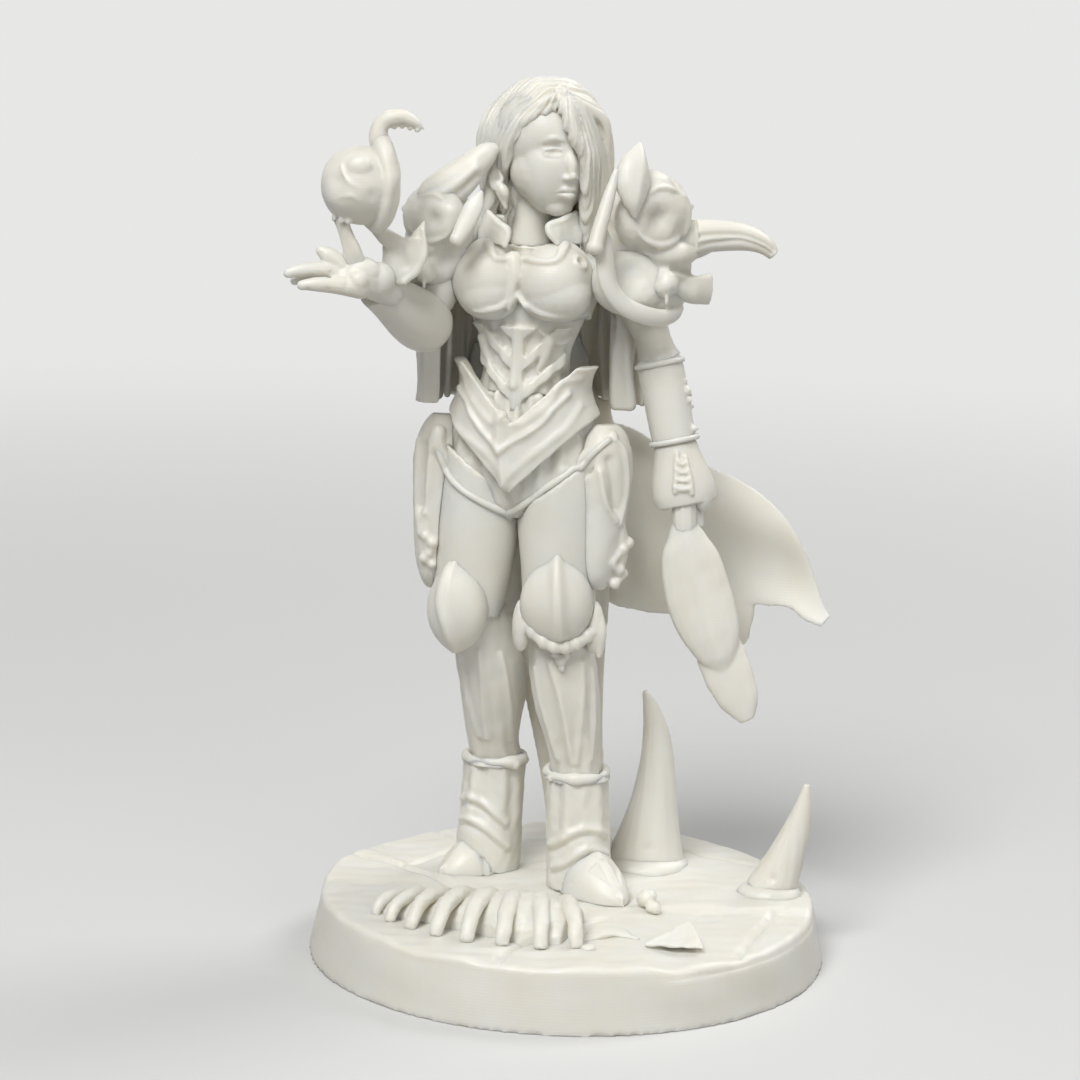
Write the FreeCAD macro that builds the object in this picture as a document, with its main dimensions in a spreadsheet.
"""Resin tabletop miniature: a standing armoured spell-caster in a cape on a round scenic base.

Millimetres, +Z up.  The figure looks towards -Y and its left side is +X.
The origin is the middle of the base's flat underside.
Each piece of the kit is a sub-part: a blank, with the room its neighbours take cut away,
so that every piece seats on the next one face to face.
"""
import FreeCAD
import Part
import Sketcher
import os
from math import cos, pi, radians, sin
from types import SimpleNamespace

Vector = FreeCAD.Vector
FRONT = Vector(0, -1, 0)
SIDE = Vector(1, 0, 0)
UP = Vector(0, 0, 1)
# handle length that makes a cubic curve follow a quarter of an oval
ROUND = 0.5522847498
# pointed ends stop at this width instead of a sharp apex
POINT = 0.12

SIZES = {
    # round base
    "base_diameter": 25.0,
    "base_top_diameter": 23.8,
    "base_height": 3.0,
    "base_edge_round": 0.25,
    "crack_width": 0.3,
    "crack_depth": 0.2,
    "peg_diameter": 0.9,
    "peg_length": 1.0,
    "peg_clearance": 0.05,
    # rib cage and bones on the base
    "rib_count": 8,
    "rib_thickness": 0.8,
    "rib_height_small": 0.7,
    "rib_height_large": 1.65,
    "rib_span_small": 2.0,
    "rib_span_large": 5.0,
    "spine_x": -7.5,
    "spine_y": -2.9,
    "spine_length": 7.4,
    "spine_turn": -12.0,
    "vertebra_diameter": 0.9,
    "shard_x": 3.5,
    "shard_y": -7.8,
    "shard_length": 2.8,
    "shard_width": 1.7,
    "shard_thickness": 1.3,
    "shard_tilt": 28.0,
    "shard_depth": 1.0,
    "knob_x": 3.8,
    "knob_y": -2.2,
    "knob_diameter": 1.0,
    "tall_horn_x": 3.95,
    "tall_horn_y": 4.9,
    "tall_horn_bow": 0.55,
    "tall_horn_height": 8.9,
    "tall_horn_width": 3.5,
    "tall_horn_depth": 2.6,
    "tall_horn_lean": 0.35,
    "short_horn_x": 9.9,
    "short_horn_y": 0.8,
    "short_horn_bow": 0.25,
    "short_horn_height": 5.5,
    "short_horn_width": 2.0,
    "short_horn_depth": 1.7,
    "short_horn_lean": 1.6,
    # where the figure stands and how it is posed
    "figure_x": -2.7,
    "figure_y": 2.0,
    "body_turn": 14.0,
    "head_turn": 30.0,
    "hip_height": 20.6,
    "hip_spread": 3.7,
    "crotch_drop": 1.7,
    "right_knee_height": 13.7,
    "left_knee_height": 14.3,
    "right_knee_x": -2.5,
    "right_knee_y": -0.3,
    "left_knee_x": 1.85,
    "left_knee_y": -1.3,
    "ankle_height": 5.6,
    "right_ankle_x": -1.0,
    "right_ankle_y": 1.9,
    "left_ankle_x": 3.0,
    "left_ankle_y": -0.8,
    "right_toe_x": -3.5,
    "right_toe_y": -0.2,
    "left_toe_x": 5.3,
    "left_toe_y": -4.4,
    "waist_rise": 4.9,
    "chest_rise": 3.6,
    "shoulder_rise": 1.6,
    "shoulder_spread": 8.4,
    "chin_rise": 3.6,
    "head_shift": 0.6,
    # legs
    "boot_step": 0.12,
    "boot_top_width": 3.0,
    "boot_top_depth": 3.1,
    "boot_foot_width": 3.1,
    "boot_foot_depth": 3.4,
    "toe_cap_width": 2.9,
    "toe_cap_height": 2.6,
    "toe_cap_length": 3.2,
    "boot_cuff_thickness": 0.7,
    "ankle_width": 2.5,
    "ankle_depth": 2.6,
    "calf_width": 3.2,
    "calf_depth": 3.3,
    "right_calf_bow": 0.45,
    "left_calf_bow": 0.1,
    "knee_width": 3.3,
    "knee_depth": 3.3,
    "thigh_width": 4.3,
    "thigh_depth": 4.6,
    "thigh_trim_thickness": 0.4,
    "thigh_trim_width": 0.55,
    "right_thigh_slope": 36.0,
    "left_thigh_slope": 37.0,
    "right_knee_cop_width": 3.0,
    "left_knee_cop_width": 3.5,
    "knee_cop_height": 4.5,
    "knee_cop_depth": 1.5,
    "knee_wing_width": 0.9,
    "knee_wing_height": 2.6,
    "hip_plate_width": 3.3,
    "hip_plate_thickness": 1.4,
    # trunk
    "hip_width": 7.8,
    "hip_depth": 4.7,
    "waist_width": 4.1,
    "waist_depth": 3.4,
    "chest_width": 6.3,
    "chest_depth": 4.1,
    "shoulder_width": 6.6,
    "shoulder_depth": 3.2,
    "belt_thickness": 0.6,
    "belt_band": 2.3,
    "belt_slope": 44.0,
    "corset_rib_thickness": 0.6,
    "cup_diameter": 3.6,
    "cup_spread": 3.3,
    "cup_reach": 1.15,
    "cup_rise": 0.55,
    "breastplate_thickness": 0.35,
    "collar_height": 2.0,
    "collar_width": 4.4,
    "collar_thickness": 0.5,
    "collar_opening": 2.6,
    # head
    "neck_diameter": 1.9,
    "head_width": 4.6,
    "head_depth": 5.1,
    "head_height": 6.0,
    "nose_width": 0.5,
    "hair_thickness": 0.5,
    "hair_fall": 7.0,
    "lock_thickness": 1.0,
    # right arm
    "upper_arm_diameter": 2.2,
    "right_elbow_x": -1.0,
    "right_elbow_y": -1.5,
    "right_elbow_z": -3.3,
    "right_wrist_x": -2.2,
    "right_wrist_y": -2.9,
    "right_wrist_z": 2.0,
    "vambrace_elbow_width": 2.8,
    "vambrace_wrist_width": 1.9,
    "hand_length": 4.6,
    "palm_width": 2.0,
    "palm_thickness": 1.0,
    "finger_diameter": 0.72,
    "orb_diameter": 3.6,
    "orb_rise": 4.75,
    "orb_reach": 0.75,
    "flame_height": 3.3,
    "flame_hook": 2.95,
    "flame_width": 1.1,
    "right_pauldron_width": 3.8,
    "right_pauldron_depth": 4.4,
    "right_pauldron_height": 4.0,
    "boss_diameter": 1.3,
    "right_blade_reach": 2.3,
    "right_blade_width": 2.0,
    "flange_width": 0.65,
    # left arm
    "left_elbow_x": 1.75,
    "left_elbow_y": -0.2,
    "left_elbow_z": -4.85,
    "left_wrist_x": 1.5,
    "left_wrist_y": -0.9,
    "left_wrist_z": -6.65,
    "left_arm_width": 2.2,
    "spike_length": 0.35,
    "arm_band_thickness": 0.4,
    "cuff_top_width": 2.1,
    "cuff_hem_width": 3.1,
    "cuff_length": 3.0,
    "wrist_diameter": 1.5,
    "blade_length": 10.2,
    "blade_width": 3.2,
    "blade_thickness": 1.5,
    "left_pauldron_turn": 28.0,
    "left_pauldron_width": 4.6,
    "left_pauldron_depth": 4.8,
    "left_pauldron_height": 5.2,
    "pauldron_spike_height": 2.4,
    "pauldron_spike_width": 1.7,
    "pauldron_horn_length": 4.0,
    "pauldron_horn_width": 2.0,
    "pauldron_horn_bow": 0.55,
    "pauldron_horn_fall": 0.65,
    "pauldron_lame_drop": 1.9,
    # cloth
    "mantle_drop": 7.3,
    "mantle_spread": 10.6,
    "mantle_thickness": 0.8,
    "cape_thickness": 0.7,
    "cape_flare_x": 15.1,
    "cape_flare_drop": 9.6,
    "cape_hem_clearance": 0.3,
}

doc = FreeCAD.newDocument("miniature")
sheet = doc.addObject("Spreadsheet::Sheet", "dims")
for row, (alias, number) in enumerate(SIZES.items(), start=1):
    sheet.set(f"A{row}", alias)
    sheet.set(f"B{row}", str(number))
    sheet.setAlias(f"B{row}", alias)
doc.recompute()
size = SimpleNamespace(**{alias: float(sheet.get(alias)) for alias in SIZES})
pieces = []
blanks = {}


# helpers: positions

def between(start, end, part):
    """Point part of the way from start to end."""
    return start + (end - start) * part


def turned(direction, degrees):
    """Direction turned about the upright axis, anticlockwise seen from above."""
    return FreeCAD.Rotation(UP, degrees).multVec(direction)


# helpers: solids

def quarter(centre, start, end, start_crease, end_crease):
    """A quarter of an oval; a crease pulls its handle in so that two quarters meet in a ridge."""
    curve = Part.BezierCurve()
    curve.setPoles([
        centre + start,
        centre + start * (1 - start_crease) + end * ROUND,
        centre + end * (1 - end_crease) + start * ROUND,
        centre + end,
    ])
    return curve.toShape()


def oval(centre, across, front, crease):
    """Closed wire round centre, with an optional ridge down its front."""
    back = front * -1
    other = across * -1
    return Part.Wire([
        quarter(centre, across, front, 0, crease),
        quarter(centre, front, other, crease, 0),
        quarter(centre, other, back, 0, 0),
        quarter(centre, back, across, 0, 0),
    ])


def tube(name, stations, facing=FRONT, crease=0.0):
    """Solid through oval sections; each station is a point, a full width and a full depth."""
    points = [station[0] for station in stations]
    sections = []
    for i, (centre, width, depth) in enumerate(stations):
        along = points[min(i + 1, len(points) - 1)] - points[max(i - 1, 0)]
        along.normalize()
        front = facing - along * facing.dot(along)
        front.normalize()
        across = along.cross(front)
        section = doc.addObject("Part::Feature", f"{name}_section_{i}")
        section.Shape = oval(centre, across * (width / 2), front * (depth / 2), crease)
        sections.append(section)
    loft = doc.addObject("Part::Loft", name)
    loft.Sections = sections
    loft.Solid = True
    loft.Ruled = False
    return loft


def egg(name, centre, width, depth, height, facing=FRONT, axis=UP, crease=0.0):
    """Closed rounded body: oval sections that follow an oval from pole to pole."""
    stations = []
    for angle in (-84, -62, -34, 0, 34, 62, 84):
        ring = cos(radians(angle))
        rise = axis * (sin(radians(angle)) * height / 2)
        stations.append((centre + rise, width * ring, depth * ring))
    return tube(name, stations, facing, crease)


def spike(name, foot, tip, width, facing=FRONT):
    """Straight pointed thorn."""
    middle = between(foot, tip, 0.5)
    return tube(name, [(foot, width, width), (middle, width * 0.6, width * 0.6), (tip, POINT, POINT)], facing)


def fuse(name, *solids):
    """One solid from overlapping solids."""
    result = doc.addObject("Part::MultiFuse", name)
    result.Shapes = list(solids)
    result.Refine = False
    return result


def cut(name, base, tool):
    """Base with the tool's room taken out."""
    result = doc.addObject("Part::Cut", name)
    result.Base = base
    result.Tool = tool
    result.Refine = False
    return result


def common(name, *solids):
    """The room that all the solids share."""
    result = doc.addObject("Part::MultiCommon", name)
    result.Shapes = list(solids)
    result.Refine = False
    return result


def group(label, solids):
    """Separate identical solids kept together as one piece."""
    result = doc.addObject("Part::Compound", label)
    result.Links = list(solids)
    return result


def piece(label, blank, *neighbours):
    """Finished piece: the blank with the room of the neighbours it seats on cut away."""
    solid = blank
    for neighbour in neighbours:
        solid = cut(f"{label}_on_{neighbour.Label}", solid, blanks[neighbour.Name])
    solid.Label = label
    blanks[solid.Name] = blank
    pieces.append(solid)
    return solid


def box(name, length, width, height, placement):
    """Block centred on the placement's point in X and Y, standing on it."""
    block = doc.addObject("Part::Box", name)
    block.setExpression("Length", length)
    block.setExpression("Width", width)
    block.setExpression("Height", height)
    middle = Vector(-sheet.evalExpression(length) / 2, -sheet.evalExpression(width) / 2, 0)
    block.Placement = placement.multiply(FreeCAD.Placement(middle, FreeCAD.Rotation()))
    return block


def ring(name, centre, axis, diameter, thickness):
    """Plain round ring; diameter and thickness are expressions of the sheet."""
    torus = doc.addObject("Part::Torus", name)
    torus.setExpression("Radius1", f"({diameter}) / 2")
    torus.setExpression("Radius2", f"({thickness}) / 2")
    torus.Placement = FreeCAD.Placement(centre, FreeCAD.Rotation(UP, axis))
    return torus


def peg(name, point):
    """Round peg that goes down into the base."""
    pin = doc.addObject("Part::Cylinder", name)
    pin.setExpression("Radius", "dims.peg_diameter / 2")
    pin.setExpression("Height", "dims.peg_length * 2")
    pin.Placement = FreeCAD.Placement(point - UP * size.peg_length, FreeCAD.Rotation())
    return pin


# helpers: sketches

def sketch_on(body, role, name):
    """Sketch on one of the body's own origin planes."""
    plane = next(feature for feature in body.Origin.OriginFeatures if feature.Role == role)
    sketch = body.newObject("Sketcher::SketchObject", name)
    sketch.AttachmentSupport = (plane, [""])
    sketch.MapMode = "FlatFace"
    return sketch


def outline(sketch, corners):
    """Closed straight-sided outline; each corner is a pair of sheet expressions."""
    points = [Vector(sheet.evalExpression(x), sheet.evalExpression(y), 0) for x, y in corners]
    first = sketch.GeometryCount
    for i, point in enumerate(points):
        sketch.addGeometry(Part.LineSegment(point, points[(i + 1) % len(points)]), False)
    for i in range(len(points)):
        after = first + (i + 1) % len(points)
        sketch.addConstraint(Sketcher.Constraint("Coincident", first + i, 2, after, 1))
    for i, (x, y) in enumerate(corners):
        for kind, expression, axis in (("DistanceX", x, -2), ("DistanceY", y, -1)):
            if expression == "0":
                sketch.addConstraint(Sketcher.Constraint("PointOnObject", first + i, 1, axis))
                continue
            value = sheet.evalExpression(expression)
            index = sketch.addConstraint(Sketcher.Constraint(kind, -1, 1, first + i, 1, value))
            sketch.setExpression(f"Constraints[{index}]", expression)


def hole(sketch, point, diameter):
    """Round hole in a sketch; diameter is a sheet expression."""
    radius = sheet.evalExpression(diameter) / 2
    index = sketch.addGeometry(Part.Circle(Vector(point.x, point.y, 0), UP, radius), False)
    width = sketch.addConstraint(Sketcher.Constraint("Diameter", index, 2 * radius))
    sketch.setExpression(f"Constraints[{width}]", diameter)
    sketch.addConstraint(Sketcher.Constraint("DistanceX", -1, 1, index, 3, point.x))
    sketch.addConstraint(Sketcher.Constraint("DistanceY", -1, 1, index, 3, point.y))


# armature: the points that the pieces are built round

top = size.base_height
stand = Vector(size.figure_x, size.figure_y, top)
body_front = turned(FRONT, -size.body_turn)
body_side = turned(SIDE, -size.body_turn)
body_yaw = FreeCAD.Rotation(UP, -size.body_turn)
head_front = turned(FRONT, size.head_turn)
head_side = turned(SIDE, size.head_turn)

pelvis = stand + UP * size.hip_height
hip = {
    "right": pelvis - body_side * (size.hip_spread / 2),
    "left": pelvis + body_side * (size.hip_spread / 2),
}
knee = {
    "right": stand + Vector(size.right_knee_x, size.right_knee_y, size.right_knee_height),
    "left": stand + Vector(size.left_knee_x, size.left_knee_y, size.left_knee_height),
}
ankle = {
    "right": stand + Vector(size.right_ankle_x, size.right_ankle_y, size.ankle_height),
    "left": stand + Vector(size.left_ankle_x, size.left_ankle_y, size.ankle_height),
}
toe = {
    "right": stand + Vector(size.right_toe_x, size.right_toe_y, 0),
    "left": stand + Vector(size.left_toe_x, size.left_toe_y, 0),
}
waist = pelvis + UP * size.waist_rise
chest = waist + UP * size.chest_rise
shoulders = chest + UP * size.shoulder_rise
shoulder = {
    "right": shoulders - SIDE * (size.shoulder_spread / 2 - 0.35),
    "left": shoulders + SIDE * (size.shoulder_spread / 2 + 0.35),
}
chin = chest + Vector(size.head_shift, -0.2, size.chin_rise)
head_middle = chin + UP * (size.head_height / 2)
right_elbow = shoulder["right"] + Vector(size.right_elbow_x, size.right_elbow_y, size.right_elbow_z)
right_wrist = right_elbow + Vector(size.right_wrist_x, size.right_wrist_y, size.right_wrist_z)
left_elbow = shoulder["left"] + Vector(size.left_elbow_x, size.left_elbow_y, size.left_elbow_z)
left_wrist = left_elbow + Vector(size.left_wrist_x, size.left_wrist_y, size.left_wrist_z)
tall_horn_foot = Vector(size.tall_horn_x, size.tall_horn_y, top)
short_horn_foot = Vector(size.short_horn_x, size.short_horn_y, top)
foot = {}
for side in ("right", "left"):
    below_ankle = Vector(ankle[side].x, ankle[side].y, top)
    foot[side] = between(below_ankle, toe[side], size.boot_step)

# base plinth

body = doc.addObject("PartDesign::Body", "plinth")
profile = sketch_on(body, "XZ_Plane", "plinth_profile")
outline(profile, [
    ("0", "0"),
    ("dims.base_diameter / 2", "0"),
    ("dims.base_top_diameter / 2", "dims.base_height"),
    ("0", "dims.base_height"),
])
disc = body.newObject("PartDesign::Revolution", "plinth_disc")
disc.Profile = profile
disc.ReferenceAxis = (profile, ["V_Axis"])
disc.Angle = 360
doc.recompute()

rim = body.newObject("PartDesign::Fillet", "plinth_rim")
rim_edges = []
for index, edge in enumerate(disc.Shape.Edges, start=1):
    if isinstance(edge.Curve, Part.Circle) and edge.BoundBox.ZMin > top / 2:
        rim_edges.append(f"Edge{index}")
rim.Base = (disc, rim_edges)
rim.setExpression("Radius", "dims.base_edge_round")
doc.recompute()

sockets = sketch_on(body, "XY_Plane", "plinth_sockets")
sockets.setExpression("AttachmentOffset.Base.z", "dims.base_height")
for point in (foot["right"], foot["left"], tall_horn_foot, short_horn_foot):
    hole(sockets, point, "dims.peg_diameter + 2 * dims.peg_clearance")
drilled = body.newObject("PartDesign::Pocket", "plinth_socket_holes")
drilled.Profile = sockets
drilled.setExpression("Length", "dims.peg_length + dims.peg_clearance")
doc.recompute()

cracks = sketch_on(body, "XY_Plane", "plinth_cracks")
cracks.setExpression("AttachmentOffset.Base.z", "dims.base_height")
outline(cracks, [
    ("-dims.base_top_diameter * 0.44", "dims.base_top_diameter * 0.19"),
    ("-dims.base_top_diameter * 0.27", "dims.base_top_diameter * 0.04"),
    ("-dims.base_top_diameter * 0.27", "dims.base_top_diameter * 0.04 + dims.crack_width"),
    ("-dims.base_top_diameter * 0.44", "dims.base_top_diameter * 0.19 + dims.crack_width"),
])
outline(cracks, [
    ("dims.base_top_diameter * 0.25", "-dims.base_top_diameter * 0.11"),
    ("dims.base_top_diameter * 0.45", "-dims.base_top_diameter * 0.08"),
    ("dims.base_top_diameter * 0.45", "-dims.base_top_diameter * 0.08 + dims.crack_width"),
    ("dims.base_top_diameter * 0.25", "-dims.base_top_diameter * 0.11 + dims.crack_width"),
])
cracked = body.newObject("PartDesign::Pocket", "plinth_crack_grooves")
cracked.Profile = cracks
cracked.setExpression("Length", "dims.crack_depth")
doc.recompute()
plinth = piece("base_plinth", body)

# rib cage, vertebrae and loose bones

spine_start = Vector(size.spine_x, size.spine_y, top)
spine_end = spine_start + turned(SIDE, size.spine_turn) * size.spine_length
ribs = []
for i in range(int(size.rib_count)):
    share = i / (size.rib_count - 1)
    swell = sin(pi * (0.05 + 0.62 * share))
    span = size.rib_span_small + (size.rib_span_large - size.rib_span_small) * swell
    rise = size.rib_height_small + (size.rib_height_large - size.rib_height_small) * swell
    bone = size.rib_thickness * (0.65 + 0.35 * swell)
    back = between(spine_start, spine_end, share)
    reach = Vector(share - 0.85, -1, 0)
    reach.normalize()
    stations = []
    for angle in (0, 35, 70, 105, 140, 172):
        out = (1 - cos(radians(angle))) / 2 * span
        lift = sin(radians(angle)) * rise - bone / 4
        thick = bone * (1.0 - 0.45 * angle / 180)
        stations.append((back + reach * out + UP * lift, thick * 1.2, thick))
    rib = tube(f"rib_{i}", stations, UP + reach * 0.1)
    ribs.append(cut(f"rib_{i}_foot", rib, plinth))
piece("rib_cage", group("rib_row", ribs))

vertebrae = []
for i in range(int(size.rib_count) - 1):
    share = (i + 0.5) / (size.rib_count - 1)
    ball = doc.addObject("Part::Sphere", f"vertebra_{i}")
    ball.setExpression("Radius", "dims.vertebra_diameter / 2")
    ball.Placement = FreeCAD.Placement(between(spine_start, spine_end, share), FreeCAD.Rotation())
    vertebrae.append(cut(f"vertebra_{i}_seat", ball, plinth))
piece("vertebrae", group("vertebra_row", vertebrae))

shard_body = doc.addObject("PartDesign::Body", "shard")
shard_plan = sketch_on(shard_body, "XY_Plane", "shard_plan")
outline(shard_plan, [
    ("0", "0"),
    ("dims.shard_length", "-dims.shard_width * 0.1"),
    ("dims.shard_length * 0.78", "dims.shard_width"),
])
shard_pad = shard_body.newObject("PartDesign::Pad", "shard_pad")
shard_pad.Profile = shard_plan
shard_pad.setExpression("Length", "dims.shard_thickness")
shard_foot = Vector(size.shard_x, size.shard_y, top - size.shard_depth)
shard_body.Placement = FreeCAD.Placement(shard_foot, FreeCAD.Rotation(SIDE, size.shard_tilt))
shard = cut("shard_seat", shard_body, plinth)
knob = doc.addObject("Part::Sphere", "knob")
knob.setExpression("Radius", "dims.knob_diameter / 2")
knob_middle = Vector(size.knob_x, size.knob_y, top + size.knob_diameter * 0.35)
knob.Placement = FreeCAD.Placement(knob_middle, FreeCAD.Rotation())
piece("loose_bones", group("loose_bone_group", [shard, cut("knob_seat", knob, plinth)]))

# horns that stand on the base

tall_tip = tall_horn_foot + Vector(-size.tall_horn_lean, 0, size.tall_horn_height)
bow = SIDE * size.tall_horn_bow
wide = size.tall_horn_width
deep = size.tall_horn_depth
tall_blank = tube("tall_horn_blank", [
    (tall_horn_foot, wide, deep),
    (between(tall_horn_foot, tall_tip, 0.2) + bow * 0.4, wide * 0.72, deep * 0.8),
    (between(tall_horn_foot, tall_tip, 0.5) + bow, wide * 0.47, deep * 0.6),
    (between(tall_horn_foot, tall_tip, 0.8) + bow * 0.9, wide * 0.3, deep * 0.38),
    (tall_tip, POINT * 2, POINT * 2),
])
piece("tall_horn", fuse("tall_horn_pegged", tall_blank, peg("tall_horn_peg", tall_horn_foot)))

short_tip = short_horn_foot + Vector(size.short_horn_lean, 0, size.short_horn_height)
bow = SIDE * size.short_horn_bow
wide = size.short_horn_width
deep = size.short_horn_depth
short_blank = tube("short_horn_blank", [
    (short_horn_foot, wide, deep),
    (between(short_horn_foot, short_tip, 0.35) + bow, wide * 0.75, deep * 0.75),
    (between(short_horn_foot, short_tip, 0.7) + bow, wide * 0.5, deep * 0.5),
    (short_tip, POINT * 3, POINT * 3),
])
piece("short_horn", fuse("short_horn_pegged", short_blank, peg("short_horn_peg", short_horn_foot)))

# boots, toe caps, cuffs and greaves

calf_bow = {"right": SIDE * size.right_calf_bow, "left": SIDE * -size.left_calf_bow}
boot = {}
greave = {}
for side in ("right", "left"):
    heading = toe[side] - foot[side]
    heading.normalize()
    shaft = tube(f"{side}_boot_blank", [
        (foot[side], size.boot_foot_width, size.boot_foot_depth),
        (between(foot[side], ankle[side], 0.35), size.boot_foot_width, size.boot_foot_depth * 0.95),
        (between(foot[side], ankle[side], 0.7), size.boot_top_width, size.boot_top_depth),
        (ankle[side], size.boot_top_width, size.boot_top_depth),
    ], heading)
    pegged = fuse(f"{side}_boot_pegged", shaft, peg(f"{side}_boot_peg", foot[side]))
    boot[side] = piece(f"{side}_boot", pegged)

    length = size.toe_cap_length
    cap = tube(f"{side}_toe_cap_blank", [
        (toe[side] - heading * length, size.toe_cap_width, size.toe_cap_height * 2),
        (toe[side] - heading * (length * 0.55), size.toe_cap_width * 0.92, size.toe_cap_height * 1.45),
        (toe[side] - heading * (length * 0.2), size.toe_cap_width * 0.6, size.toe_cap_height * 0.8),
        (toe[side], POINT * 4, POINT * 4),
    ], UP, 0.18)
    below = box(f"{side}_ground", "dims.base_diameter", "dims.base_diameter", "dims.base_height * 2",
                FreeCAD.Placement(UP * -top, FreeCAD.Rotation()))
    flat_cap = cut(f"{side}_toe_cap_flat", cap, below)
    piece(f"{side}_toe_cap", flat_cap, boot[side])

    shin_blank = tube(f"{side}_greave_blank", [
        (ankle[side], size.ankle_width, size.ankle_depth),
        (between(ankle[side], knee[side], 0.12), size.ankle_width, size.ankle_depth),
        (between(ankle[side], knee[side], 0.45) + calf_bow[side], size.calf_width, size.calf_depth),
        (between(ankle[side], knee[side], 0.8) + calf_bow[side], size.knee_width * 0.92, size.knee_depth),
        (knee[side], size.knee_width, size.knee_depth),
    ], heading, 0.12)
    greave[side] = piece(f"{side}_greave", shin_blank)
    cuff = ring(f"{side}_cuff_ring", ankle[side], UP, "dims.boot_top_width - dims.boot_cuff_thickness * 0.3",
                "dims.boot_cuff_thickness")
    piece(f"{side}_boot_cuff", cuff, boot[side], greave[side])

# shorts, thigh plates and their trim

hip_blank = tube("hip_blank", [
    (pelvis - UP * 2.4, size.hip_width * 0.45, size.hip_depth * 0.6),
    (pelvis - UP * 1.2, size.hip_width * 0.85, size.hip_depth * 0.95),
    (pelvis + UP * 0.6, size.hip_width, size.hip_depth),
    (pelvis + UP * 2.2, size.hip_width * 0.86, size.hip_depth * 0.92),
    (between(pelvis, waist, 0.75), size.waist_width * 1.3, size.waist_depth * 1.12),
], body_front)
stub = {}
for side in ("right", "left"):
    stub[side] = tube(f"{side}_shorts_leg", [
        (between(hip[side], knee[side], 0.0), size.thigh_width * 0.9, size.thigh_depth * 0.9),
        (between(hip[side], knee[side], 0.25), size.thigh_width * 0.9, size.thigh_depth * 0.9),
        (between(hip[side], knee[side], 0.5), size.thigh_width * 0.78, size.thigh_depth * 0.78),
    ], body_front)
shorts = piece("shorts", fuse("shorts_blank", hip_blank, stub["right"], stub["left"]))

thigh = {}
hip_plate = {}
crotch = pelvis - UP * size.crotch_drop
for side, lean in (("right", 1), ("left", -1)):
    slope = getattr(size, f"{side}_thigh_slope") * lean
    above = FreeCAD.Placement(crotch, FreeCAD.Rotation(Vector(0, 1, 0), slope))
    full = tube(f"{side}_thigh_blank", [
        (hip[side] + UP * 1.4, size.thigh_width, size.thigh_depth),
        (between(hip[side], knee[side], 0.2), size.thigh_width, size.thigh_depth),
        (between(hip[side], knee[side], 0.55), size.thigh_width * 0.93, size.thigh_depth * 0.92),
        (between(hip[side], knee[side], 0.85), size.knee_width * 1.1, size.knee_depth * 1.1),
        (between(hip[side], knee[side], 1.06), size.knee_width * 1.06, size.knee_depth * 1.06),
    ], body_front)
    upper = box(f"{side}_thigh_open", "dims.thigh_width * 6", "dims.thigh_depth * 4",
                "dims.thigh_width * 3", above)
    plate = cut(f"{side}_thigh_edged", full, upper)
    thigh[side] = piece(f"{side}_thigh_plate", plate, shorts, greave[side])

trim = {}
for side, lean in (("right", 1), ("left", -1)):
    slope = getattr(size, f"{side}_thigh_slope") * lean
    tilt = FreeCAD.Rotation(Vector(0, 1, 0), slope)
    low = crotch - tilt.multVec(UP) * size.thigh_trim_width
    slab = box(f"{side}_trim_slab", "dims.thigh_width * 6", "dims.thigh_depth * 4", "dims.thigh_trim_width",
               FreeCAD.Placement(low, tilt))
    proud = 2 * size.thigh_trim_thickness
    wide = size.thigh_width
    deep = size.thigh_depth
    fat = tube(f"{side}_trim_blank", [
        (hip[side] + UP * 1.4, wide + proud, deep + proud),
        (between(hip[side], knee[side], 0.2), wide + proud, deep + proud),
        (between(hip[side], knee[side], 0.55), wide * 0.93 + proud, deep * 0.92 + proud),
    ], body_front)
    half_foot = crotch - body_side * (lean * wide * 1.5) - UP * wide
    half = box(f"{side}_trim_half", "dims.thigh_width * 3", "dims.thigh_depth * 4", "dims.thigh_width * 4",
               FreeCAD.Placement(half_foot, body_yaw))
    band = common(f"{side}_trim_band", fat, slab, half)
    trim[side] = piece(f"{side}_thigh_trim", band, thigh[side], shorts)

# knee cops with a ridge, and the wings beside the left one

cop = {}
for side, turn in (("right", -22), ("left", -4)):
    facing = turned(FRONT, turn)
    middle = knee[side] + facing * (size.knee_depth * 0.38) + UP * 0.2
    half = size.knee_cop_height / 2
    wide = getattr(size, f"{side}_knee_cop_width")
    deep = size.knee_cop_depth * 2
    cop_blank = tube(f"{side}_knee_cop_blank", [
        (middle - UP * half, wide * 0.2, deep * 0.35),
        (middle - UP * (half * 0.75), wide * 0.66, deep * 0.7),
        (middle - UP * (half * 0.2), wide, deep),
        (middle + UP * (half * 0.4), wide * 0.86, deep * 0.88),
        (middle + UP * half, POINT * 2, deep * 0.3),
    ], facing, 0.2)
    cop[side] = piece(f"{side}_knee_cop", cop_blank, thigh[side], greave[side])
wings = []
for sign in (-1, 1):
    spot = knee["left"] + FRONT * (size.knee_depth * 0.32) - UP * (size.knee_wing_height * 0.42)
    spot = spot + SIDE * (sign * size.left_knee_cop_width / 2)
    wide = size.knee_wing_width
    lobe = egg(f"knee_wing_{sign + 1}", spot, wide, wide * 1.4, size.knee_wing_height)
    lobe = cut(f"knee_wing_{sign + 1}_thigh", lobe, thigh["left"])
    lobe = cut(f"knee_wing_{sign + 1}_greave", lobe, greave["left"])
    wings.append(cut(f"knee_wing_{sign + 1}_cop", lobe, cop["left"]))
piece("left_knee_wings", group("knee_wing_pair", wings))

# hip plates on the outside of the thighs

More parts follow.
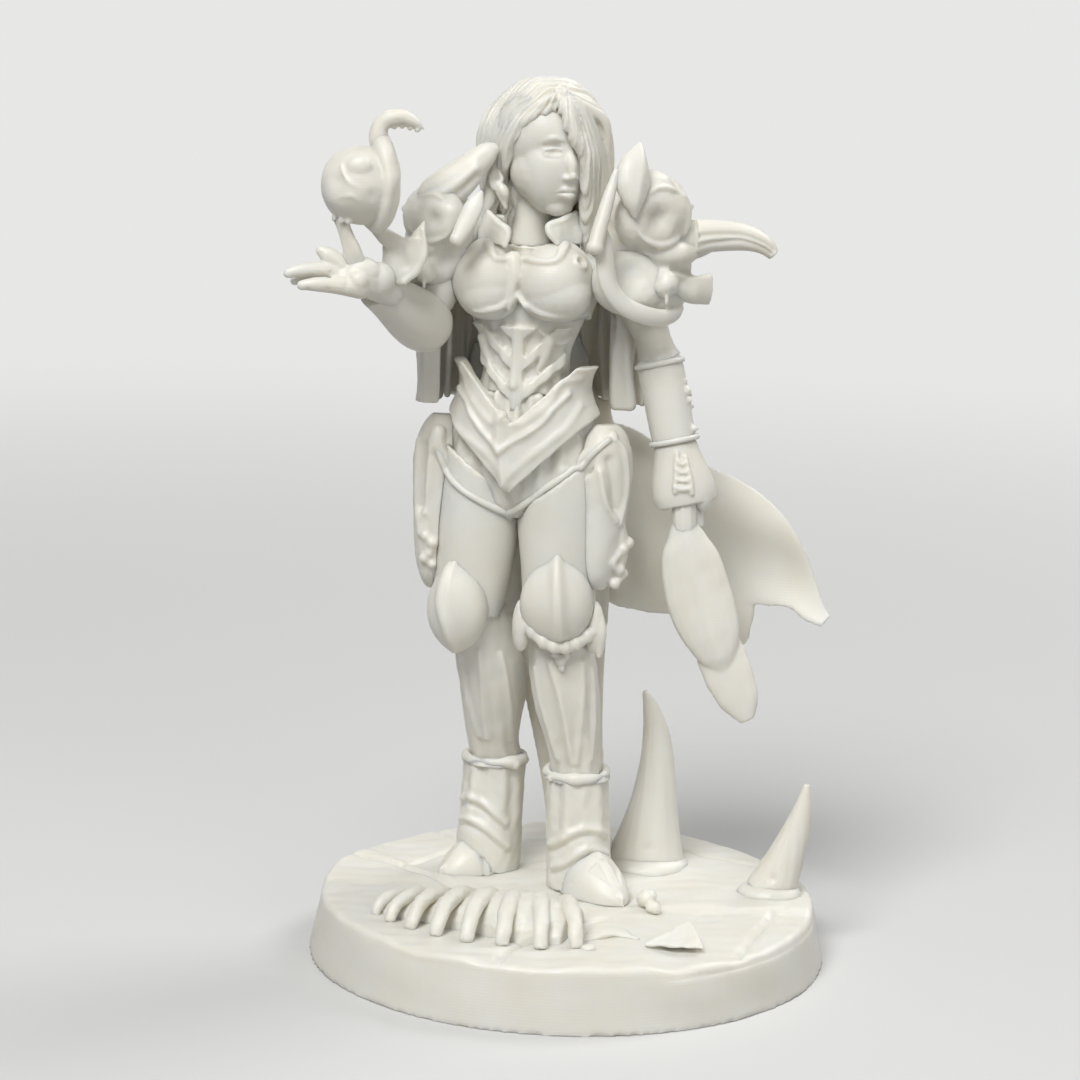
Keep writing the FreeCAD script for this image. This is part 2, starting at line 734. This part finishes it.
for side, sign in (("right", -1), ("left", 1)):
    outward = body_side * sign
    start = hip[side] + outward * (size.thigh_width * 0.5) + UP * 2.2
    end = between(hip[side], knee[side], 0.9) + outward * (size.knee_width * 0.56)
    wide = size.hip_plate_width
    deep = size.hip_plate_thickness * 2
    plate_blank = tube(f"{side}_hip_plate_blank", [
        (start, wide * 0.45, deep * 0.4),
        (between(start, end, 0.08), wide * 0.8, deep * 0.8),
        (between(start, end, 0.3), wide, deep),
        (between(start, end, 0.65), wide * 0.85, deep * 0.85),
        (between(start, end, 0.92), wide * 0.6, deep * 0.55),
        (end, wide * 0.25, deep * 0.25),
    ], outward, 0.1)
    hip_plate[side] = piece(f"{side}_hip_plate", plate_blank, thigh[side], shorts, trim[side], cop[side])

# torso, belt plate and corset ribs

torso_blank = tube("torso_blank", [
    (pelvis + UP * 1.6, size.waist_width, size.waist_depth * 0.9),
    (between(pelvis, waist, 0.75), size.waist_width * 1.12, size.waist_depth * 1.05),
    (waist, size.waist_width, size.waist_depth),
    (between(waist, chest, 0.55), size.chest_width * 0.83, size.chest_depth * 0.93),
    (chest, size.chest_width, size.chest_depth),
    (between(chest, shoulders, 0.75), size.shoulder_width, size.shoulder_depth),
    (shoulders + UP * 0.5, size.neck_diameter * 2.1, size.neck_diameter * 1.5),
], body_front)
torso = piece("torso", torso_blank, shorts)

rims = {}
for name, grow in (("outer", size.belt_thickness * 2), ("inner", 0)):
    rims[name] = tube(f"belt_{name}", [
        (pelvis - UP * 2.4, size.hip_width * 0.45 + grow, size.hip_depth * 0.6 + grow),
        (pelvis - UP * 1.2, size.hip_width * 0.85 + grow, size.hip_depth * 0.95 + grow),
        (pelvis + UP * 0.6, size.hip_width + grow, size.hip_depth + grow),
        (pelvis + UP * 2.4, size.hip_width * 0.84 + grow, size.hip_depth * 0.94 + grow),
        (waist + UP * 0.1, size.hip_width * 0.76 + grow, size.hip_depth * 0.86 + grow),
    ], body_front)
shell = cut("belt_shell", rims["outer"], rims["inner"])
tip = pelvis + body_front * (size.hip_depth * 0.5) - UP * 0.9
arms = []
for sign in (-1, 1):
    tilt = body_yaw.multiply(FreeCAD.Rotation(Vector(0, 1, 0), -sign * size.belt_slope))
    middle = tip + tilt.multVec(SIDE * (sign * size.hip_width * 0.5))
    arms.append(box(f"belt_arm_{sign + 1}", "dims.hip_width", "dims.hip_depth", "dims.belt_band",
                    FreeCAD.Placement(middle, tilt)))
chevron = fuse("belt_chevron", *arms)
belt = piece("belt_plate", common("belt_blank", shell, chevron), shorts, torso)

proud = size.corset_rib_thickness
fat_torso = tube("corset_skin", [
    (pelvis + UP * 1.6, size.waist_width + proud, size.waist_depth * 0.9 + proud),
    (between(pelvis, waist, 0.75), size.waist_width * 1.12 + proud, size.waist_depth * 1.05 + proud),
    (waist, size.waist_width + proud, size.waist_depth + proud),
    (between(waist, chest, 0.55), size.chest_width * 0.83 + proud, size.chest_depth * 0.93 + proud),
], body_front)
upright = FreeCAD.Placement(pelvis + body_front * size.waist_depth, body_yaw)
strips = [box("corset_ridge", "dims.corset_rib_thickness", "dims.waist_depth * 1.6",
              "dims.waist_rise * 2", upright)]
for level in (0.62, 0.92, 1.22):
    for sign in (-1, 1):
        tilt = body_yaw.multiply(FreeCAD.Rotation(Vector(0, 1, 0), -sign * size.belt_slope))
        start = pelvis + UP * (size.waist_rise * level) + body_front * size.waist_depth
        middle = start + tilt.multVec(SIDE * (sign * size.waist_width * 0.5))
        name = f"corset_strip_{int(level * 100)}_{sign + 1}"
        strips.append(box(name, "dims.waist_width", "dims.waist_depth * 1.6",
                          "dims.corset_rib_thickness * 0.7", FreeCAD.Placement(middle, tilt)))
lattice = fuse("corset_lattice", *strips)
corset = piece("corset_ribs", common("corset_blank", fat_torso, lattice), torso, shorts, belt)

# breastplate and collar

cups = []
for sign in (-1, 1):
    out = size.chest_depth / 2 + size.cup_reach - size.cup_diameter / 2
    spot = chest + body_front * out + body_side * (sign * size.cup_spread / 2) + UP * size.cup_rise
    lean = UP - body_front * 0.3 - body_side * (sign * 0.12)
    lean.normalize()
    bowl = size.cup_diameter
    cups.append(egg(f"cup_{sign + 1}", spot, bowl, bowl, bowl, body_front, lean))
proud = size.breastplate_thickness * 2
chest_skin = tube("breastplate_skin", [
    (between(waist, chest, 0.62), size.chest_width * 0.86 + proud, size.chest_depth * 0.95 + proud),
    (chest, size.chest_width + proud, size.chest_depth + proud),
    (between(chest, shoulders, 0.75), size.shoulder_width + proud, size.shoulder_depth + proud),
    (shoulders + UP * 0.1, size.shoulder_width * 0.8 + proud, size.shoulder_depth * 0.9 + proud),
], body_front)
breastplate = piece("breastplate", fuse("breastplate_blank", chest_skin, *cups), torso, corset)

# head, hair and locks

tall = size.head_height
skull_spot = head_middle - head_front * (size.head_depth * 0.05) + UP * (tall * 0.12)
skull = egg("skull", skull_spot, size.head_width, size.head_depth, tall * 0.76, head_front)
face_spot = head_middle + head_front * (size.head_depth * 0.165) - UP * (tall * 0.1)
face = egg("face", face_spot, size.head_width * 0.78, size.head_depth * 0.62, tall * 0.8, head_front)
neck = tube("neck", [
    (shoulders - UP * 0.6, size.neck_diameter * 1.25, size.neck_diameter * 1.25),
    (shoulders + UP * 0.9, size.neck_diameter, size.neck_diameter),
    (head_middle - head_front * 0.3 - UP * (tall * 0.12), size.neck_diameter, size.neck_diameter),
], head_front)
bridge = size.nose_width
nose_root = head_middle + head_front * (size.head_depth * 0.44)
nose_tip = head_middle + head_front * (size.head_depth * 0.5) - UP * (tall * 0.15)
nose = tube("nose", [
    (nose_root, bridge * 0.8, bridge * 0.8),
    (between(nose_root, nose_tip, 0.8), bridge, bridge),
    (nose_tip - UP * (bridge * 0.3), bridge * 0.5, bridge * 0.5),
], head_front)
head = piece("head", fuse("head_blank", skull, face, neck, nose), torso, breastplate)

collar_foot = Vector(head_middle.x - 0.25, shoulders.y, shoulders.z - 0.1)
sleeves = {}
for name, grow in (("outer", 0), ("inner", -2 * size.collar_thickness)):
    wide = size.collar_width
    sleeves[name] = tube(f"collar_{name}", [
        (collar_foot - UP * (size.collar_height * 0.2), wide * 1.15 + grow, wide * 0.95 + grow),
        (collar_foot + UP * (size.collar_height * 0.5), wide * 0.9 + grow, wide * 0.85 + grow),
        (collar_foot + UP * size.collar_height, wide + grow, wide * 0.95 + grow),
    ], body_front)
collar_wall = cut("collar_wall", sleeves["outer"], sleeves["inner"])
gap_foot = collar_foot + body_front * (size.collar_width / 2) - UP * (size.collar_height / 2)
gap = box("collar_gap", "dims.collar_opening", "dims.collar_width", "dims.collar_height * 2",
          FreeCAD.Placement(gap_foot, body_yaw))
collar = piece("collar", cut("collar_open", collar_wall, gap), torso, breastplate, head)

grow = size.hair_thickness * 2
wide = size.head_width + grow
deep = size.head_depth + grow
cap = egg("hair_cap", skull_spot, wide, deep, tall * 0.76 + grow, head_front)
window_spot = head_middle + Vector(-size.head_width * 0.08, -size.head_depth * 0.57, -tall * 0.1)
window = egg("hair_window", window_spot, size.head_width, size.head_depth * 1.1, tall * 1.02, FRONT)
cap_open = cut("hair_cap_open", cap, window)
fall_top = head_middle - head_front * 1.1 + UP * 0.4
fall_end = Vector(shoulders.x + 0.3, shoulders.y + 2.6, fall_top.z - size.hair_fall)
fall = tube("hair_fall_blank", [
    (fall_top, size.head_width * 0.95, size.head_depth * 0.7),
    (between(fall_top, fall_end, 0.35) + SIDE * 0.3, size.head_width * 1.1, size.head_depth * 0.6),
    (between(fall_top, fall_end, 0.7), size.head_width * 1.15, size.head_depth * 0.5),
    (fall_end, size.head_width * 0.8, size.head_depth * 0.25),
], FRONT)
strand = size.hair_thickness * 2.4
curtain = tube("hair_curtain", [
    (head_middle + Vector(0.4, -0.8, 3.0), strand, strand),
    (head_middle + Vector(1.75, -0.8, 2.2), strand * 1.1, strand),
    (head_middle + Vector(2.6, -0.5, 0.3), strand * 1.2, strand * 1.2),
    (head_middle + Vector(2.7, 0.0, -1.8), strand * 1.2, strand * 1.2),
    (head_middle + Vector(2.4, 0.6, -4.0), strand * 0.4, strand * 0.5),
], FRONT)
hair = piece("hair", fuse("hair_blank", cap_open, fall, curtain), head, torso, breastplate, collar)

ear = head_middle - head_side * (size.head_width * 0.5) - UP * (tall * 0.06)
thick = size.lock_thickness
ear_lock = tube("ear_lock", [
    (ear + Vector(0.2, -0.3, 0.9), thick * 0.5, thick * 0.5),
    (ear + Vector(0.1, -0.5, 0.0), thick * 0.65, thick * 0.6),
    (ear + Vector(0.3, -0.8, -1.3), thick * 0.55, thick * 0.5),
    (ear + Vector(0.25, -0.9, -2.1), POINT * 2, POINT * 2),
])
back_lock = tube("back_lock", [
    (ear + Vector(-0.1, 0.4, 0.8), thick, thick),
    (ear + Vector(-0.5, 0.5, -1.0), thick, thick),
    (ear + Vector(-1.1, 0.5, -2.8), thick * 0.9, thick * 0.8),
    (ear + Vector(-1.5, 0.4, -4.2), POINT * 2, POINT * 2),
])
lock_solids = []
for blank in (ear_lock, back_lock):
    for neighbour in (head, hair, torso, breastplate, collar):
        blank = cut(f"{blank.Name}_{neighbour.Label}", blank, blanks[neighbour.Name])
    lock_solids.append(blank)
locks = piece("hair_locks", group("lock_pair", lock_solids))

# right arm, hand, orb and flames

right_arm_blank = tube("right_upper_arm_blank", [
    (shoulder["right"] + Vector(0.5, 0, 0.9), size.upper_arm_diameter * 0.5, size.upper_arm_diameter * 0.5),
    (shoulder["right"] + Vector(0.3, 0, 0.5), size.upper_arm_diameter, size.upper_arm_diameter),
    (between(shoulder["right"], right_elbow, 0.5), size.upper_arm_diameter, size.upper_arm_diameter),
    (right_elbow, size.upper_arm_diameter * 0.85, size.upper_arm_diameter * 0.85),
], FRONT)
right_arm = piece("right_upper_arm", right_arm_blank, torso, breastplate)

reach = right_wrist - right_elbow
reach.normalize()
wide = size.vambrace_elbow_width
narrow = size.vambrace_wrist_width
vambrace_blank = tube("right_vambrace_blank", [
    (right_elbow - reach * (wide * 0.34), wide * 0.45, wide * 0.45),
    (right_elbow - reach * (wide * 0.22), wide * 0.82, wide * 0.82),
    (right_elbow + reach * (wide * 0.06), wide, wide),
    (between(right_elbow, right_wrist, 0.6), narrow * 1.22, narrow * 1.22),
    (right_wrist, narrow, narrow),
], UP)
vambrace = piece("right_vambrace", vambrace_blank, right_arm, breastplate)

palm_way = Vector(-0.92, -0.36, 0.14)
palm_way.normalize()
palm_end = right_wrist + palm_way * (size.hand_length * 0.55)
palm = tube("right_palm", [
    (right_wrist - palm_way * 0.5, size.wrist_diameter, size.wrist_diameter * 0.85),
    (between(right_wrist, palm_end, 0.35), size.palm_width * 0.85, size.palm_thickness * 1.2),
    (between(right_wrist, palm_end, 0.75), size.palm_width, size.palm_thickness),
    (palm_end + palm_way * 0.2, size.palm_width * 0.8, size.palm_thickness * 0.7),
], UP)
palm_side = UP.cross(palm_way)
finger = size.finger_diameter
fingers = [palm]
finger_plan = ((-0.95, 0.88, 0.55), (-0.3, 1.0, 0.6), (0.35, 0.98, 0.1), (0.95, 0.86, -0.25))
for index, (offset, share, lift) in enumerate(finger_plan):
    knuckle = palm_end + palm_side * (offset * size.palm_width * 0.4) - palm_way * 0.5
    end = right_wrist + palm_way * (size.hand_length * share) + UP * lift
    end = end + palm_side * (offset * size.palm_width * 0.45)
    bend = between(knuckle, end, 0.5) + UP * (0.1 + lift * 0.2)
    fingers.append(tube(f"right_finger_{index}", [
        (knuckle, finger * 1.05, finger * 1.05),
        (bend, finger, finger),
        (between(bend, end, 0.75), finger * 0.9, finger * 0.9),
        (end, finger * 0.4, finger * 0.4),
    ], UP))
thumb_root = between(right_wrist, palm_end, 0.55) - palm_side * (size.palm_width * 0.3)
thumb_tip = thumb_root + palm_way * 1.5 + UP * 1.55
fingers.append(tube("right_thumb", [
    (thumb_root, finger * 1.4, finger * 1.4),
    (between(thumb_root, thumb_tip, 0.6), finger * 1.2, finger * 1.2),
    (thumb_tip, finger * 0.7, finger * 0.7),
], FRONT))
hand = piece("right_hand", fuse("right_hand_blank", *fingers), vambrace)

orb_middle = right_wrist + Vector(-size.orb_reach, -1.0, size.orb_rise)
orb_ball = doc.addObject("Part::Sphere", "orb_ball")
orb_ball.setExpression("Radius", "dims.orb_diameter / 2")
orb_ball.Placement = FreeCAD.Placement(orb_middle, FreeCAD.Rotation())
orb = piece("flame_orb", orb_ball)

ball = size.orb_diameter / 2
wide = size.flame_width
rise = size.flame_height
hook = size.flame_hook
tail_flame = tube("flame_tail", [
    (orb_middle + Vector(hook * 0.46, 0.1, -rise * 0.3), wide * 0.5, wide * 0.5),
    (orb_middle + Vector(hook * 0.52, 0.1, rise * 0.05), wide * 0.95, wide * 0.9),
    (orb_middle + Vector(hook * 0.42, 0.1, rise * 0.34), wide * 1.1, wide),
    (orb_middle + Vector(hook * 0.29, 0.1, rise * 0.6), wide, wide * 0.9),
    (orb_middle + Vector(hook * 0.31, 0.1, rise * 0.8), wide * 0.85, wide * 0.8),
    (orb_middle + Vector(hook * 0.5, 0.1, rise * 0.98), wide * 0.72, wide * 0.7),
    (orb_middle + Vector(hook * 0.76, 0.1, rise * 0.97), wide * 0.6, wide * 0.55),
    (orb_middle + Vector(hook * 0.93, 0.1, rise * 0.86), wide * 0.35, wide * 0.35),
    (orb_middle + Vector(hook, 0.1, rise * 0.77), POINT, POINT),
], FRONT)
palm_top = between(right_wrist, palm_end, 0.6) + UP * 0.2
left_lick = tube("flame_left", [
    (orb_middle + Vector(-ball * 0.5, 0, -ball * 0.7), wide * 0.8, wide * 0.7),
    (between(orb_middle + Vector(-ball * 0.45, 0, -ball), palm_top, 0.5), wide * 0.5, wide * 0.5),
    (palm_top, wide * 0.7, wide * 0.6),
], FRONT)
curl = right_wrist + Vector(0.55, -0.9, 2.6)
right_lick = tube("flame_right", [
    (orb_middle + Vector(ball * 0.35, 0, -ball * 0.75), wide * 0.8, wide * 0.7),
    (between(orb_middle + Vector(ball * 0.6, 0, -ball), curl, 0.55), wide * 0.7, wide * 0.6),
    (curl, wide * 0.8, wide * 0.7),
    (curl + Vector(0.55, 0.2, -0.9), wide * 0.9, wide * 0.7),
    (right_wrist + Vector(0.2, -0.4, 0.5), wide, wide * 0.8),
], FRONT)
piece("flames", fuse("flames_blank", tail_flame, left_lick, right_lick), orb, hand, vambrace)

# right pauldron: a plain skull-like dome with bosses, a blade that leans to the head and a flange

dome_middle = shoulder["right"] + Vector(-0.85, -1.2, 1.25)
wide = size.right_pauldron_width
deep = size.right_pauldron_depth
right_dome = egg("right_pauldron_dome", dome_middle, wide, deep, size.right_pauldron_height)
bosses = []
for index, angle in enumerate((-40, 5, 50, 95)):
    way = turned(FRONT, -angle)
    spot = dome_middle + Vector(way.x * wide, way.y * deep, 0) * 0.44 - UP * (size.boss_diameter / 2)
    boss = doc.addObject("Part::Sphere", f"boss_{index}")
    boss.setExpression("Radius", "dims.boss_diameter / 2")
    boss.Placement = FreeCAD.Placement(spot, FreeCAD.Rotation())
    bosses.append(boss)
right_pauldron = piece("right_pauldron", fuse("right_pauldron_blank", right_dome, *bosses),
                       right_arm, torso, breastplate, hair, locks, vambrace)
blade_root = dome_middle + Vector(0.9, 0.3, 1.2)
blade_tip = blade_root + Vector(size.right_blade_reach, -0.3, size.right_blade_reach * 1.05)
wide = size.right_blade_width
blade = tube("right_blade", [
    (blade_root - Vector(0.6, 0, 0.6), wide, wide * 0.5),
    (blade_root, wide, wide * 0.5),
    (between(blade_root, blade_tip, 0.55), wide * 0.8, wide * 0.42),
    (blade_tip, wide * 0.5, wide * 0.3),
], FRONT, 0.1)
right_blade = piece("right_pauldron_blade", blade, right_pauldron, hair, locks, head, right_arm)


def flange(name, upper, lower):
    """Flat bar along a pauldron's inner edge."""
    wide = size.flange_width
    return tube(name, [
        (upper, wide * 0.7, wide),
        (between(upper, lower, 0.15), wide, wide * 1.6),
        (between(upper, lower, 0.85), wide, wide * 1.6),
        (lower, wide * 0.8, wide),
    ], FRONT)


flange_top = dome_middle + Vector(2.3, -0.7, 1.4)
flange_end = dome_middle + Vector(1.45, -1.0, -1.25)
piece("right_pauldron_flange", flange("right_flange_blank", flange_top, flange_end),
      right_pauldron, right_blade, right_arm, breastplate, torso, hair, locks, collar)

# left arm, bands, flared cuff, hand and the leaf shape it holds

def arm_spike(name, spot):
    """Thorn on the outer edge of the left arm."""
    outward = Vector(0.95, 0, -0.3)
    return spike(name, spot + outward * (size.left_arm_width * 0.3),
                 spot + outward * (size.left_arm_width * 0.5 + size.spike_length), size.spike_length * 2, UP)


left_arm_blank = tube("left_upper_arm_blank", [
    (shoulder["left"] + Vector(-0.5, 0, 0.9), size.left_arm_width * 0.5, size.left_arm_width * 0.5),
    (shoulder["left"] + Vector(-0.3, 0, 0.5), size.left_arm_width, size.left_arm_width),
    (between(shoulder["left"], left_elbow, 0.5), size.left_arm_width, size.left_arm_width),
    (left_elbow, size.left_arm_width, size.left_arm_width),
], FRONT)
left_arm = piece("left_upper_arm", left_arm_blank, torso, breastplate)
arm_way = left_wrist - left_elbow
arm_way.normalize()
cuff_foot = left_wrist + arm_way * 0.1
cuff_top = cuff_foot - arm_way * size.cuff_length
fore_blank = tube("left_vambrace_blank", [
    (left_elbow - UP * 0.02, size.left_arm_width, size.left_arm_width),
    (between(left_elbow, cuff_top, 0.5), size.left_arm_width, size.left_arm_width),
    (cuff_top, size.left_arm_width * 0.95, size.left_arm_width * 0.95),
], FRONT)
fins = [fore_blank]
for index, share in enumerate((0.3, 0.45, 0.72)):
    fins.append(arm_spike(f"arm_spike_{index}", between(left_elbow, cuff_top, share)))
left_vambrace = piece("left_vambrace", fuse("left_vambrace_spiked", *fins), left_arm)
bands = []
for index, share in enumerate((0.04, 0.98)):
    band = ring(f"arm_band_{index}", between(left_elbow, cuff_top, share), arm_way,
                "dims.left_arm_width", "dims.arm_band_thickness")
    bands.append(cut(f"arm_band_{index}_seat", band, left_vambrace))
arm_bands = piece("left_arm_bands", group("arm_band_pair", bands))
half_way = (size.cuff_top_width + size.cuff_hem_width) / 2
flare = tube("left_cuff_blank", [
    (cuff_top, size.cuff_top_width, size.cuff_top_width),
    (between(cuff_top, cuff_foot, 0.4), half_way, size.cuff_top_width * 1.15),
    (between(cuff_top, cuff_foot, 0.8), size.cuff_hem_width, size.cuff_hem_width * 0.85),
    (cuff_foot, size.cuff_hem_width * 0.94, size.cuff_hem_width * 0.8),
], FRONT)
left_cuff = piece("left_cuff", flare, arm_bands, left_vambrace)
blade_way = Vector(0.36, -0.22, -0.9)
blade_way.normalize()
hand_end = cuff_foot + arm_way * 1.2
left_hand_blank = tube("left_hand_blank", [
    (cuff_foot - arm_way * 0.6, size.wrist_diameter, size.wrist_diameter),
    (cuff_foot + arm_way * 0.3, size.wrist_diameter * 0.95, size.wrist_diameter * 0.95),
    (hand_end, size.wrist_diameter * 0.85, size.wrist_diameter * 0.85),
], FRONT)
left_hand = piece("left_hand", left_hand_blank, left_cuff)
blade_end = hand_end + blade_way * size.blade_length
leaf = tube("leaf_blank", [
    (hand_end - blade_way * 0.3, size.blade_width * 0.5, size.blade_thickness),
    (between(hand_end, blade_end, 0.12), size.blade_width * 0.85, size.blade_thickness),
    (between(hand_end, blade_end, 0.3), size.blade_width, size.blade_thickness),
    (between(hand_end, blade_end, 0.55), size.blade_width * 0.86, size.blade_thickness * 0.9),
    (between(hand_end, blade_end, 0.82), size.blade_width * 0.62, size.blade_thickness * 0.75),
    (between(hand_end, blade_end, 0.95), size.blade_width * 0.4, size.blade_thickness * 0.5),
    (blade_end, size.blade_width * 0.16, size.blade_thickness * 0.3),
], FRONT, 0.1)
piece("held_leaf", leaf, left_hand)

# left pauldron: a plain skull-like dome with a spike, a side horn and a lower plate

skull_middle = shoulder["left"] + Vector(1.05, -0.9, 1.15)
skull_front = turned(FRONT, size.left_pauldron_turn)
skull_side = turned(SIDE, size.left_pauldron_turn)
wide = size.left_pauldron_width
deep = size.left_pauldron_depth
tall = size.left_pauldron_height
skull_dome = egg("pauldron_dome", skull_middle, wide, deep, tall)
muzzle_spot = skull_middle + skull_front * (deep * 0.24) - UP * (tall * 0.31)
muzzle = egg("pauldron_muzzle", muzzle_spot, wide * 0.62, deep * 0.55, tall * 0.55, skull_front)
jaw_root = skull_middle + skull_side * (wide * 0.12) - UP * (tall * 0.43)
jaw_end = jaw_root + skull_side * (wide * 0.52)
jaw = tube("pauldron_jaw", [
    (jaw_root, tall * 0.22, deep * 0.28),
    (between(jaw_root, jaw_end, 0.6), tall * 0.26, deep * 0.22),
    (jaw_end, tall * 0.24, deep * 0.12),
], skull_front)
eyes = []
for index, (across, rise) in enumerate(((-0.8, 0.3), (0.8, 0.3))):
    spot = skull_middle + skull_side * across + skull_front * (deep * 0.46) + UP * rise
    eyes.append(egg(f"pauldron_eye_{index}", spot, 1.1, 1.4, 0.9, skull_front))
skull_solid = fuse("pauldron_skull", skull_dome, muzzle, jaw)
for eye in eyes:
    skull_solid = cut(f"{eye.Name}_socket", skull_solid, eye)
left_pauldron = piece("left_pauldron", skull_solid, left_arm, torso, breastplate, collar, hair)
thorn_foot = skull_middle + Vector(-wide * 0.14, -deep * 0.14, tall * 0.36)
thorn_tip = thorn_foot + UP * size.pauldron_spike_height
thick = size.pauldron_spike_width
thorn = tube("pauldron_thorn", [
    (thorn_foot - UP * (size.pauldron_spike_height / 2), thick * 0.8, thick * 0.8),
    (thorn_foot, thick, thick * 0.75),
    (between(thorn_foot, thorn_tip, 0.45), thick * 0.75, thick * 0.6),
    (thorn_tip, POINT, POINT),
])
thorn_piece = piece("left_pauldron_spike", thorn, left_pauldron, hair, collar)
flange_top = skull_middle + Vector(-1.4, -1.1, 2.6)
flange_end = skull_middle + Vector(-2.6, -1.2, -1.5)
piece("left_pauldron_flange", flange("left_flange_blank", flange_top, flange_end),
      left_pauldron, thorn_piece, left_arm, breastplate, torso, hair, collar)
horn_foot = skull_middle + Vector(wide * 0.42, deep * 0.08, -tall * 0.03)
horn_tip = horn_foot + Vector(size.pauldron_horn_length, deep * 0.08, -size.pauldron_horn_fall)
bow = UP * size.pauldron_horn_bow
thick = size.pauldron_horn_width
horn = tube("pauldron_horn_blank", [
    (horn_foot - SIDE * (wide * 0.07), thick, thick),
    (between(horn_foot, horn_tip, 0.3) + bow * 0.7, thick * 0.76, thick * 0.76),
    (between(horn_foot, horn_tip, 0.6) + bow, thick * 0.68, thick * 0.66),
    (between(horn_foot, horn_tip, 0.85) + bow * 0.8, thick * 0.63, thick * 0.5),
    (horn_tip, thick * 0.52, thick * 0.3),
], UP)
piece("left_pauldron_horn", horn, left_pauldron)
lame_middle = skull_middle - UP * (tall * 0.42)
drop = UP * size.pauldron_lame_drop
lame_blank = tube("pauldron_lame_blank", [
    (lame_middle + drop * 0.47, wide * 0.96, deep * 0.8),
    (lame_middle - drop * 0.35, wide * 0.95, deep * 0.78),
    (lame_middle - drop * 0.8, wide * 0.7, deep * 0.6),
    (lame_middle - drop, wide * 0.5, deep * 0.45),
])
lame = piece("left_pauldron_lame", lame_blank, left_pauldron, left_arm, torso, breastplate)

# short mantle over the back and shoulders

mantle_top = shoulders - FRONT * 0.9
hem = mantle_top - UP * size.mantle_drop - FRONT * 0.4
walls = {}
for name, grow in (("outer", size.mantle_thickness), ("inner", -size.mantle_thickness)):
    walls[name] = tube(f"mantle_{name}", [
        (mantle_top, size.mantle_spread * 0.5 + grow, 2.6 + grow),
        (between(mantle_top, hem, 0.12), size.mantle_spread * 0.78 + grow, 4.2 + grow),
        (between(mantle_top, hem, 0.5), size.mantle_spread * 0.92 + grow, 5.4 + grow),
        (hem, size.mantle_spread - size.mantle_thickness + grow, 6.2 + grow),
    ], FRONT)
mantle_shell = cut("mantle_shell", walls["outer"], walls["inner"])
opening = box("mantle_opening", "dims.mantle_spread * 1.2", "dims.mantle_spread", "dims.mantle_drop * 2",
              FreeCAD.Placement(hem + FRONT * (size.mantle_spread / 2 + 1.1) - UP * 2, FreeCAD.Rotation()))
mantle_back = cut("mantle_back", mantle_shell, opening)
mantle = piece("mantle", mantle_back, torso, breastplate, right_arm, left_arm, hair, vambrace,
               right_pauldron, left_pauldron, lame, belt, left_vambrace, collar, locks)

# long cape: a strip that hangs behind the left leg and a part blown out to the side

cape_top = hem + UP * 3.0 - FRONT * 1.9
cape_foot = Vector(stand.x + 3.4, cape_top.y - 0.6, top + size.cape_hem_clearance)
thick = size.cape_thickness
strip = tube("cape_strip", [
    (cape_top, 7.0, thick),
    (between(cape_top, cape_foot, 0.3), 7.0, thick * 1.2),
    (between(cape_top, cape_foot, 0.6), 4.6, thick * 1.3),
    (cape_foot, 3.4, thick * 1.2),
], FRONT)
flare_start = Vector(stand.x + 2.0, cape_top.y, top + size.hip_height * 0.88)
flare_tip = Vector(stand.x + size.cape_flare_x, cape_top.y - 0.8, top + size.hip_height * 0.62)
sheet_out = tube("cape_flare", [
    (flare_start, 9.0, thick),
    (flare_start + Vector(3.8, 0.5, -1.1), 8.4, thick),
    (flare_start + Vector(7.2, 0.6, -1.9), 7.4, thick),
    (flare_start + Vector(9.4, 0.4, -2.4), 5.6, thick),
    (flare_start + Vector(11.2, 0.0, -3.6), 3.2, thick * 0.8),
    (flare_tip, 0.8, thick * 0.5),
], FRONT)
notch = doc.addObject("Part::Cylinder", "cape_notch")
notch.setExpression("Radius", "dims.cape_flare_drop * 0.14")
notch.setExpression("Height", "dims.cape_flare_x")
notch.Placement = FreeCAD.Placement(flare_start + Vector(10.8, 8.0, -6.1), FreeCAD.Rotation(UP, FRONT))
hem_point = tube("cape_hem_point", [
    (flare_start + Vector(7.4, 0.5, -3.4), 3.6, thick),
    (flare_start + Vector(8.3, 0.4, -5.0), 2.9, thick * 0.9),
    (flare_start + Vector(9.1, 0.3, -6.9), 0.4, thick * 0.5),
], FRONT)
cape_blank = cut("cape_notched", fuse("cape_blank", strip, sheet_out, hem_point), notch)
piece("cape", cape_blank, mantle, shorts, hip_plate["left"], thigh["left"], torso, left_cuff)

# finish: every object is sound, then each piece goes to its own file

doc.recompute()
for item in doc.Objects:
    if "Invalid" in item.State or "Error" in item.State:
        raise RuntimeError(f"{item.Label} did not build: {item.State}")
os.makedirs("parts", exist_ok=True)
for item in pieces:
    if item.Shape.isNull() or not item.Shape.isValid():
        raise RuntimeError(f"{item.Label} is not a sound solid")
    item.Shape.exportStep(f"parts/{item.Label}.step")
    print(item.Label, len(item.Shape.Solids), round(item.Shape.Volume, 3))
